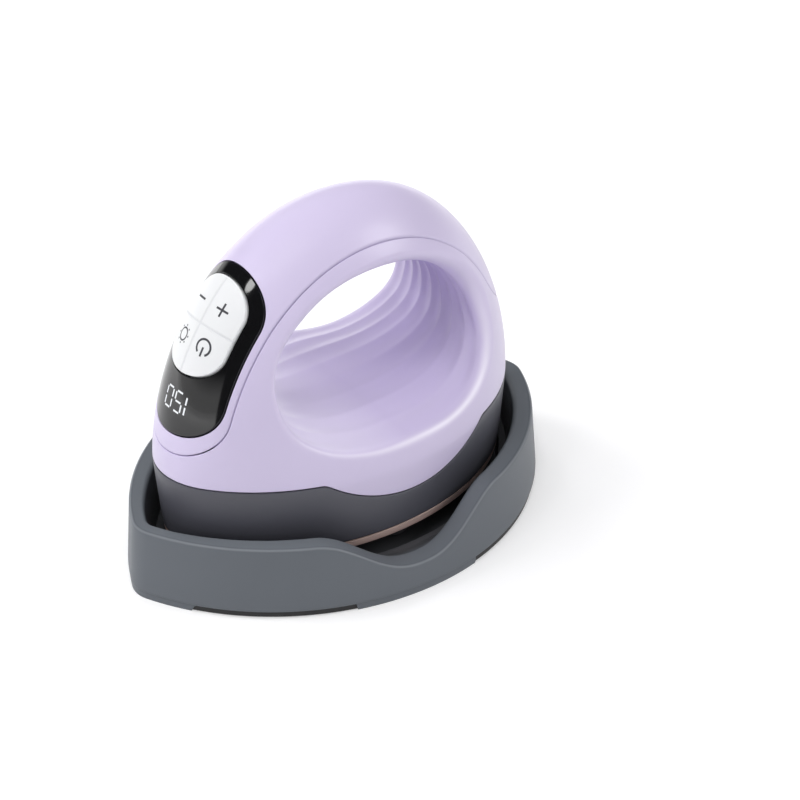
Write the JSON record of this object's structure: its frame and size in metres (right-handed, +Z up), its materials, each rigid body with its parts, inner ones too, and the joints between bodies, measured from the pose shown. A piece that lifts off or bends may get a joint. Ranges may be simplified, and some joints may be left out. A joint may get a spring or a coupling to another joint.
{
  "type": "mini heat press",
  "caption": "Handheld heat press with a ribbed finger hole through its domed housing, a tilted key and display panel, and a lens-shaped heat-proof stand with finger scoops.",
  "frame": {"origin": "on the ground at the middle of the stand's plan", "axes": "+X to the back of the press, away from its display; +Z up; the whole is near symmetric left to right across Y"},
  "size_m": [0.1298, 0.0908, 0.093],
  "materials": {
    "housing_lilac": "satin moulded plastic, fine even grain",
    "window_black": "polished black window",
    "key_white": "smooth white key caps",
    "skirt_charcoal": "fine matt heat-proof plastic",
    "stand_grey": "fine matt heat-proof plastic",
    "base_black": "matt base plate",
    "plate_copper": "non-stick coated plate with a copper-coloured edge",
    "steel": "plain steel",
    "ceramic": "unglazed ceramic",
    "mica": "pressed mica sheet",
    "board_green": "solder-masked board",
    "black_plastic": "moulded black",
    "terminal_blue": "moulded blue",
    "silicone": "soft matt silicone"
  },
  "bodies": {
    "stand": {"stand_shell": "stand_grey", "stand_base": "base_black", "stand_base_screw_1": "steel", "stand_base_screw_2": "steel", "stand_base_screw_3": "steel", "stand_base_screw_4": "steel", "stand_rest_1": "silicone", "stand_rest_2": "silicone", "stand_rest_3": "silicone", "stand_rest_4": "silicone"},
    "press": {"main_housing": "housing_lilac", "top_cover": "housing_lilac", "panel_window": "window_black", "lower_housing": "skirt_charcoal", "cord_gland": "silicone", "heat_plate": "plate_copper", "heating_element": "steel", "temperature_sensor": "ceramic", "thermal_fuse": "steel", "insulation_sheet": "mica", "heat_shield": "steel", "plate_standoff_1": "steel", "plate_standoff_2": "steel", "plate_standoff_3": "steel", "plate_standoff_4": "steel", "plate_screw_1": "steel", "plate_screw_2": "steel", "plate_screw_3": "steel", "plate_screw_4": "steel", "housing_screw_1": "steel", "housing_screw_2": "steel", "power_board": "board_green", "relay": "black_plastic", "capacitor": "black_plastic", "terminal_block": "terminal_blue", "buzzer": "black_plastic", "wiring_loom": "black_plastic", "control_board": "board_green", "control_board_screw_1": "steel", "control_board_screw_2": "steel", "switch_minus": "black_plastic", "switch_plus": "black_plastic", "switch_light": "black_plastic", "switch_power": "black_plastic", "display_module": "black_plastic"},
    "key_minus": {"key_minus": "key_white"},
    "key_plus": {"key_plus": "key_white"},
    "key_light": {"key_light": "key_white"},
    "key_power": {"key_power": "key_white"}
  },
  "joints": [
    {"name": "press_lift", "type": "slide", "parent": "stand", "child": "press", "axis": [0, 0, 1], "range_m": [0, 0.04]},
    {"name": "key_minus_travel", "type": "slide", "parent": "press", "child": "key_minus", "axis": [0.8075, 0, -0.5898], "range_m": [0, 0.0005], "stiffness_N_per_m": 2000},
    {"name": "key_plus_travel", "type": "slide", "parent": "press", "child": "key_plus", "axis": [0.8075, 0, -0.5898], "range_m": [0, 0.0005], "stiffness_N_per_m": 2000},
    {"name": "key_light_travel", "type": "slide", "parent": "press", "child": "key_light", "axis": [0.8075, 0, -0.5898], "range_m": [0, 0.0005], "stiffness_N_per_m": 2000},
    {"name": "key_power_travel", "type": "slide", "parent": "press", "child": "key_power", "axis": [0.8075, 0, -0.5898], "range_m": [0, 0.0005], "stiffness_N_per_m": 2000}
  ]
}
